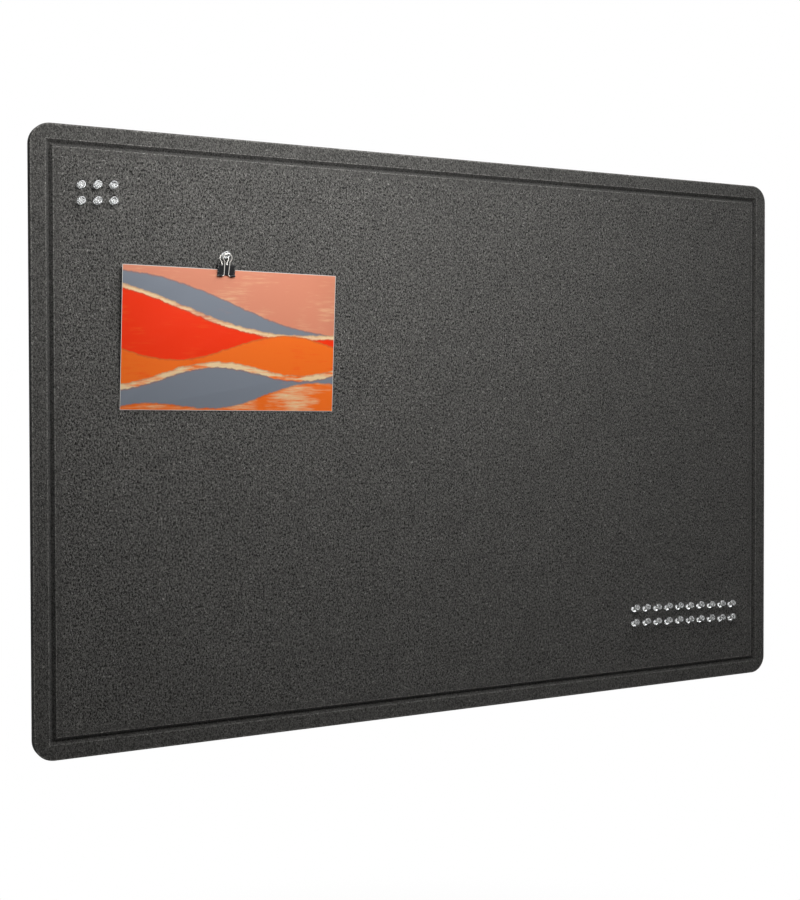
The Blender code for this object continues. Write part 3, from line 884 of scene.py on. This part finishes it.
def handle_route(clip):
    """Centre line of a handle in its own plane, foot to foot, as (across, up) points.

    Each half runs in along the foot, bends up the leg, flares out and closes in a round loop. The
    flare's circle and the loop's circle touch, so their centres and the contact lie on one line.
    """
    loop_centre = (0.0, clip.handle - clip.loop_radius)
    flare_across = clip.neck_half + clip.flare_radius
    drop = math.sqrt((clip.loop_radius + clip.flare_radius) ** 2 - flare_across ** 2)
    contact = math.atan2(drop, flare_across)
    foot_x = np.linspace(clip.width / 2 - clip.foot_inset, clip.leg_half + clip.leg_bend, 8)[:-1]
    foot = np.column_stack([foot_x, 0.0 * foot_x])
    bend = arc((clip.leg_half + clip.leg_bend, clip.leg_bend), clip.leg_bend, -math.pi / 2,
               -math.pi, steps=8)
    flare = arc((flare_across, loop_centre[1] - drop), clip.flare_radius, math.pi,
                math.pi - contact, steps=8)
    leg = bend[-1] + np.linspace(0.0, 1.0, 9)[1:-1, None] * (flare[0] - bend[-1])
    loop = arc(loop_centre, clip.loop_radius, -contact, math.pi / 2, steps=26)[1:]
    half = np.vstack([foot, bend, leg, flare, loop])
    return np.vstack([half, half[-2::-1] * (-1, 1)])


def clip_handles(clip):
    """Both wire handles on the clip, leaning with their jaws; the front one swings."""
    origin, axes = clip_place(clip)
    wire = wire_material(clip)
    route = handle_route(clip)
    lean = jaw_lean(clip)
    for name, body, side in (("front", "front_handle", -1.0), ("rear", "board", 1.0)):
        up = math.cos(lean) * axes[2] + side * math.sin(lean) * axes[1]
        foot = origin + side * roll_offset(clip) * axes[1]
        path = foot + route[:, :1] * axes[0] + route[:, 1:] * up
        points, faces = tube(path, np.cross(axes[0], up), clip.wire_radius, sides=20)
        made = new_piece(f"clip_{name}_wire", points, faces, wire, sharp=60.0)
        dress(made, body, f"clip_{name}_handle")


# Stage

def make_camera(stage):
    """Camera at the photograph's viewing angle."""
    data = bpy.data.cameras.new("camera")
    data.lens = stage.lens
    data.sensor_width = 36.0
    data.shift_y = stage.shift
    data.clip_start = 0.01
    data.clip_end = 50.0
    camera = bpy.data.objects.new("camera", data)
    camera.location = stage.eye
    camera.rotation_euler = stage.turn
    bpy.context.scene.collection.objects.link(camera)
    bpy.context.scene.camera = camera


def backdrop_rays(tree):
    """Socket that is 1 for rays from the camera, from gloss and through clear plastic."""
    path = tree.nodes.new("ShaderNodeLightPath")
    seen = calc(tree, "MAXIMUM", path.outputs["Is Camera Ray"], path.outputs["Is Glossy Ray"])
    return calc(tree, "MAXIMUM", seen, path.outputs["Is Transmission Ray"])


def make_world(stage):
    """White surroundings to the camera and in reflections, and a soft even light on the rest."""
    world = bpy.data.worlds.new("studio")
    world.use_nodes = True
    tree = world.node_tree
    level = fit(tree, backdrop_rays(tree), 0.0, 1.0, stage.ambient, 1.0, smooth=False)
    background = tree.nodes["Background"]
    background.inputs["Color"].default_value = (1.0, 1.0, 1.0, 1.0)
    tree.links.new(level, background.inputs["Strength"])
    bpy.context.scene.world = world


def make_floor(stage):
    """Round pale floor below the board, which whitens into the surroundings at its rim."""
    rings = np.linspace(0.0, stage.floor_radius, 9)
    points, faces = turned(np.column_stack([rings, 0.0 * rings]), sides=64)
    points = points - (0.0, 0.0, stage.floor_drop)
    mat, tree, shader = new_material("pale_floor", roughness=0.9)
    grain = noise(tree, object_place(tree), 12.0, detail=3.0)
    tree.links.new(blend_colour(tree, grain, (0.84, 0.84, 0.84), (0.88, 0.88, 0.88)),
                   shader.inputs["Base Color"])
    glow = add_node(tree, "ShaderNodeEmission", {"Strength": 1.0})
    away = add_node(tree, "ShaderNodeVectorMath", {0: object_place(tree)}, operation="LENGTH")
    near, far = (part * stage.floor_radius for part in FLOOR_FADE)
    fade = fit(tree, away.outputs["Value"], near, far, 0.55, 1.0)
    share_lit = calc(tree, "MULTIPLY", fade, backdrop_rays(tree))
    mixed = add_node(tree, "ShaderNodeMixShader", {0: share_lit})
    tree.links.new(shader.outputs["BSDF"], mixed.inputs[1])
    tree.links.new(glow.outputs["Emission"], mixed.inputs[2])
    tree.links.new(mixed.outputs["Shader"], tree.nodes["Material Output"].inputs["Surface"])
    floor = new_piece("floor", points, faces, mat, closed=False)


def make_softbox(name, place, size, power):
    """Oblong area light that faces the board's middle and is itself out of the camera's sight."""
    data = bpy.data.lights.new(name, "AREA")
    data.shape = "RECTANGLE"
    data.size, data.size_y = size
    data.energy = power
    light = bpy.data.objects.new(name, data)
    light.location = place
    light.rotation_euler = light.location.to_track_quat("Z", "Y").to_euler()
    light.visible_camera = False
    bpy.context.scene.collection.objects.link(light)


# Operators

class FELTBOARD_OT_panel(bpy.types.Operator):
    """Make the felt panel with its pressed groove"""

    bl_idname = "felt_board.panel"
    bl_label = "Felt Panel"

    def execute(self, context):
        panel = felt_panel(context.scene.felt_board_felt)
        dress(panel, "board", "felt_board")
        return {"FINISHED"}


class FELTBOARD_OT_push_pins(bpy.types.Operator):
    """Make every push pin's clear head and steel needle"""

    bl_idname = "felt_board.push_pins"
    bl_label = "Push Pins"

    def execute(self, context):
        push_pins(context.scene.felt_board_pins)
        return {"FINISHED"}


class FELTBOARD_OT_card(bpy.types.Operator):
    """Make the printed card"""

    bl_idname = "felt_board.card"
    bl_label = "Printed Card"

    def execute(self, context):
        printed_card(context.scene.felt_board_card)
        return {"FINISHED"}


class FELTBOARD_OT_clip(bpy.types.Operator):
    """Make the binder clip's folded sheet and its two wire handles"""

    bl_idname = "felt_board.clip"
    bl_label = "Binder Clip"

    def execute(self, context):
        clip = context.scene.felt_board_clip
        clip_body(clip)
        clip_handles(clip)
        return {"FINISHED"}


class FELTBOARD_OT_stage(bpy.types.Operator):
    """Set up the camera, the pale floor and the soft studio light"""

    bl_idname = "felt_board.stage"
    bl_label = "Stage"

    def execute(self, context):
        stage = context.scene.felt_board_stage
        make_camera(stage)
        make_world(stage)
        make_floor(stage)
        for name, place, size, power in SOFTBOXES:
            make_softbox(name, place, size, getattr(stage, power))
        context.scene.view_settings.view_transform = "Standard"
        return {"FINISHED"}


class FELTBOARD_PT_sidebar(bpy.types.Panel):
    """Lists the operators in the order in which they run"""

    bl_idname = "FELTBOARD_PT_sidebar"
    bl_label = "Felt Bulletin Board"
    bl_space_type = "VIEW_3D"
    bl_region_type = "UI"
    bl_category = "Felt Board"

    def draw(self, context):
        for operator in OPERATORS:
            self.layout.operator(operator.bl_idname)


SETTINGS = {
    "felt_board_felt": FeltSettings,
    "felt_board_pins": PinSettings,
    "felt_board_card": CardSettings,
    "felt_board_clip": ClipSettings,
    "felt_board_stage": StageSettings,
}
OPERATORS = (
    FELTBOARD_OT_panel,
    FELTBOARD_OT_push_pins,
    FELTBOARD_OT_card,
    FELTBOARD_OT_clip,
    FELTBOARD_OT_stage,
)


def register():
    """Register the settings, the operators and the sidebar panel."""
    for label, group in SETTINGS.items():
        bpy.utils.register_class(group)
        setattr(bpy.types.Scene, label, PointerProperty(type=group))
    for operator in OPERATORS:
        bpy.utils.register_class(operator)
    bpy.utils.register_class(FELTBOARD_PT_sidebar)


def unregister():
    """Take everything out again, last in first out."""
    bpy.utils.unregister_class(FELTBOARD_PT_sidebar)
    for operator in reversed(OPERATORS):
        bpy.utils.unregister_class(operator)
    for label, group in reversed(SETTINGS.items()):
        delattr(bpy.types.Scene, label)
        bpy.utils.unregister_class(group)


def main():
    """Build every piece and the stage."""
    register()
    bpy.ops.felt_board.panel()
    bpy.ops.felt_board.push_pins()
    bpy.ops.felt_board.card()
    bpy.ops.felt_board.clip()
    bpy.ops.felt_board.stage()


if __name__ == "__main__":
    main()
